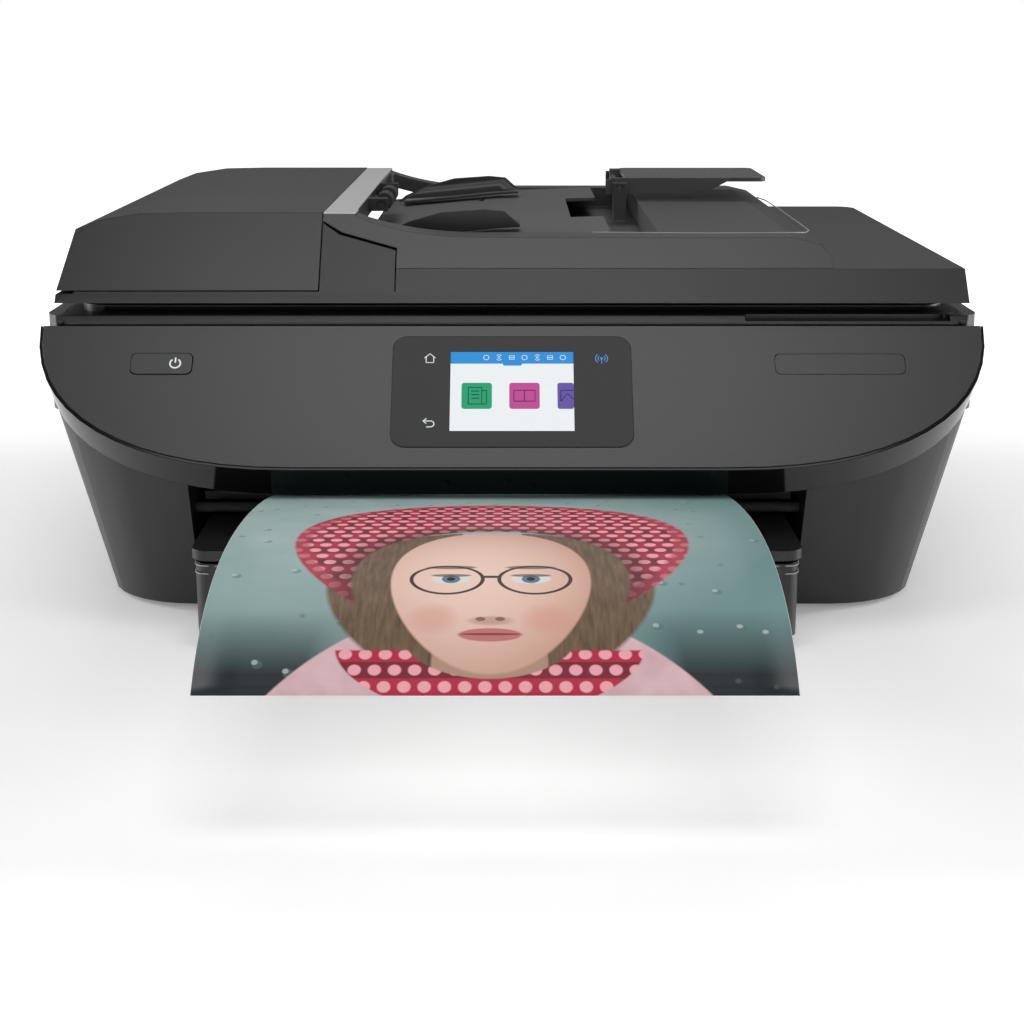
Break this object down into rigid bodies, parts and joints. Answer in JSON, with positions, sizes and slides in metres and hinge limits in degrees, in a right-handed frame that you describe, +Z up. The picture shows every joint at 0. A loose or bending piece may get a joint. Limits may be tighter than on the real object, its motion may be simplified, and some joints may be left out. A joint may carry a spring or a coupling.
{
  "type": "inkjet printer",
  "caption": "All-in-one inkjet printer with a document feeder, sloped touch panel, paper tray and a printed sheet in the exit.",
  "frame": {"origin": "On the floor under the middle of the housing's width, in the vertical plane halfway between the front of the trays and the rear of the lid", "axes": "+X to the right seen from the front, +Y to the rear, +Z up"},
  "size_m": [0.455, 0.6173, 0.1944],
  "materials": {
    "satin_black": "satin",
    "panel_grey": "fine grain satin",
    "piano_black": "polished",
    "cover_black": "fine matte grain",
    "trim_silver": "satin silver paint",
    "tray_grey": "fine matte grain",
    "rubber": "matte",
    "steel": "ground",
    "zinc_sheet": "zinc plated",
    "display": "lit display",
    "clear_glass": "polished",
    "paper": "gloss photo paper",
    "white_foam": "matte",
    "board_green": "satin",
    "gear_white": "satin",
    "brass": "machined",
    "inner_grey": "moulded"
  },
  "bodies": {
    "base": {"lower_shell": "satin_black", "base_pan": "satin_black", "rubber_feet": "rubber", "port_panel": "satin_black", "power_inlet": "satin_black", "card_reader": "inner_grey", "print_chassis": "zinc_sheet", "chassis_screws": "steel", "carriage_rod": "steel", "carriage_belt": "rubber", "carriage_motor": "zinc_sheet", "service_station": "inner_grey", "platen": "inner_grey", "feed_motor": "zinc_sheet", "star_wheels": "steel", "main_board": "board_green", "power_supply": "inner_grey", "hinge_pins": "steel", "output_tray": "satin_black"},
    "card_door": {"card_door": "satin_black"},
    "carriage": {"carriage": "inner_grey"},
    "black_cartridge": {"black_cartridge": "satin_black"},
    "colour_cartridge": {"colour_cartridge": "inner_grey"},
    "drive_pulley": {"drive_pulley": "steel"},
    "idler_pulley": {"idler_pulley": "steel"},
    "feed_roller": {"feed_roller": "rubber", "feed_gear": "gear_white"},
    "feed_pinion": {"feed_pinion": "brass"},
    "exit_roller": {"exit_roller": "rubber"},
    "pickup_arm": {"pickup_arm": "inner_grey"},
    "pickup_roller": {"pickup_roller": "rubber"},
    "paper_tray": {"paper_tray": "satin_black"},
    "width_guide_left": {"width_guide_left": "inner_grey"},
    "width_guide_right": {"width_guide_right": "inner_grey"},
    "length_guide": {"length_guide": "inner_grey"},
    "output_extender": {"output_extender": "satin_black"},
    "extender_stop": {"extender_stop": "satin_black"},
    "printed_sheet": {"printed_sheet": "paper"},
    "scanner_unit": {"scanner_housing": "satin_black", "scanner_base": "satin_black", "scanner_deck": "satin_black", "scanner_glass": "clear_glass", "scan_rod": "steel", "trim_band": "piano_black", "control_panel": "panel_grey", "display_bezel": "piano_black", "lcd_screen": "display", "nameplate": "panel_grey"},
    "scan_head": {"scan_head": "inner_grey"},
    "power_button": {"power_button": "panel_grey"},
    "lid": {"lid_shell": "satin_black", "lid_backing": "white_foam", "feeder_frame": "trim_silver", "feeder_tray": "tray_grey"},
    "feeder_roller": {"feeder_roller": "rubber"},
    "rear_guide": {"rear_guide": "cover_black"},
    "front_guide": {"front_guide": "cover_black"},
    "tray_flap": {"tray_flap": "tray_grey"},
    "feeder_cover": {"feeder_cover": "cover_black"}
  },
  "joints": [
    {"name": "scanner_unit_lift", "type": "hinge", "parent": "base", "child": "scanner_unit", "pos_m": [0, 0.196, 0.104], "axis": [-1, 0, 0], "range_deg": [0, 32]},
    {"name": "lid_hinge", "type": "hinge", "parent": "scanner_unit", "child": "lid", "pos_m": [0, 0.198, 0.156], "axis": [-1, 0, 0], "range_deg": [0, 80]},
    {"name": "feeder_cover_hinge", "type": "hinge", "parent": "lid", "child": "feeder_cover", "pos_m": [-0.2185, 0.05, 0.1606], "axis": [0, -1, 0], "range_deg": [0, 70]},
    {"name": "tray_flap_hinge", "type": "hinge", "parent": "lid", "child": "tray_flap", "pos_m": [0.064, 0.14, 0.189], "axis": [0, -1, 0], "range_deg": [0, 165]},
    {"name": "rear_guide_slide", "type": "slide", "parent": "lid", "child": "rear_guide", "axis": [0, -1, 0], "range_m": [0, 0.045]},
    {"name": "front_guide_slide", "type": "slide", "parent": "lid", "child": "front_guide", "axis": [0, 1, 0], "range_m": [0, 0.045]},
    {"name": "feeder_roller_spin", "type": "hinge", "parent": "lid", "child": "feeder_roller", "pos_m": [-0.071, 0.045, 0.188], "axis": [0, 1, 0], "continuous": true},
    {"name": "scan_head_slide", "type": "slide", "parent": "scanner_unit", "child": "scan_head", "axis": [1, 0, 0], "range_m": [0, 0.315]},
    {"name": "power_button_press", "type": "slide", "parent": "scanner_unit", "child": "power_button", "axis": [0, 0.7373, -0.6756], "range_m": [0, 0.0008], "stiffness_N_per_m": 400, "springref_m": -0.0002},
    {"name": "paper_tray_slide", "type": "slide", "parent": "base", "child": "paper_tray", "axis": [0, -1, 0], "range_m": [0, 0.18]},
    {"name": "width_guide_left_slide", "type": "slide", "parent": "paper_tray", "child": "width_guide_left", "axis": [1, 0, 0], "range_m": [0, 0.055]},
    {"name": "width_guide_right_slide", "type": "slide", "parent": "paper_tray", "child": "width_guide_right", "axis": [-1, 0, 0], "range_m": [0, 0.055]},
    {"name": "length_guide_slide", "type": "slide", "parent": "paper_tray", "child": "length_guide", "axis": [0, 1, 0], "range_m": [0, 0.1]},
    {"name": "extender_slide", "type": "slide", "parent": "base", "child": "output_extender", "axis": [0, -1, 0], "range_m": [0, 0.1]},
    {"name": "extender_stop_hinge", "type": "hinge", "parent": "output_extender", "child": "extender_stop", "pos_m": [-0.007, -0.187, 0.0472], "axis": [-1, 0, 0], "range_deg": [0, 60]},
    {"name": "card_door_hinge", "type": "hinge", "parent": "base", "child": "card_door", "pos_m": [-0.21645, -0.0645, 0.064], "axis": [0.1922, 0, -0.9814], "range_deg": [0, 70]},
    {"name": "carriage_slide", "type": "slide", "parent": "base", "child": "carriage", "axis": [-1, 0, 0], "range_m": [0, 0.25]},
    {"name": "black_cartridge_lift", "type": "slide", "parent": "carriage", "child": "black_cartridge", "axis": [0, 0, 1], "range_m": [0, 0.006]},
    {"name": "colour_cartridge_lift", "type": "slide", "parent": "carriage", "child": "colour_cartridge", "axis": [0, 0, 1], "range_m": [0, 0.006]},
    {"name": "drive_pulley_spin", "type": "hinge", "parent": "base", "child": "drive_pulley", "pos_m": [0.185, -0.054, 0.086], "axis": [0, 1, 0], "range_deg": [-10, 2407]},
    {"name": "idler_pulley_spin", "type": "hinge", "parent": "base", "child": "idler_pulley", "pos_m": [-0.185, -0.054, 0.086], "axis": [0, 1, 0], "range_deg": [-10, 2407]},
    {"name": "feed_roller_spin", "type": "hinge", "parent": "base", "child": "feed_roller", "pos_m": [0, -0.066, 0.055], "axis": [1, 0, 0], "continuous": true},
    {"name": "feed_pinion_spin", "type": "hinge", "parent": "base", "child": "feed_pinion", "pos_m": [-0.19, -0.066, 0.0746], "axis": [1, 0, 0], "continuous": true},
    {"name": "exit_roller_spin", "type": "hinge", "parent": "base", "child": "exit_roller", "pos_m": [0, -0.142, 0.054], "axis": [1, 0, 0], "continuous": true},
    {"name": "pickup_arm_swing", "type": "hinge", "parent": "base", "child": "pickup_arm", "pos_m": [-0.007, 0.03, 0.055], "axis": [-1, 0, 0], "range_deg": [0, 25]},
    {"name": "pickup_roller_spin", "type": "hinge", "parent": "pickup_arm", "child": "pickup_roller", "pos_m": [-0.007, 0.068, 0.041], "axis": [1, 0, 0], "continuous": true},
    {"name": "sheet_slide", "type": "slide", "parent": "base", "child": "printed_sheet", "axis": [0, -1, 0], "range_m": [0, 0.02]}
  ],
  "couplings": [
    {"joint": "front_guide_slide", "follows": "rear_guide_slide", "ratio": 1},
    {"joint": "width_guide_right_slide", "follows": "width_guide_left_slide", "ratio": 1},
    {"joint": "drive_pulley_spin", "follows": "carriage_slide", "rad_per_m": 166.67},
    {"joint": "idler_pulley_spin", "follows": "carriage_slide", "rad_per_m": 166.67},
    {"joint": "feed_pinion_spin", "follows": "feed_roller_spin", "ratio": -3},
    {"joint": "exit_roller_spin", "follows": "feed_roller_spin", "ratio": 1.4}
  ]
}
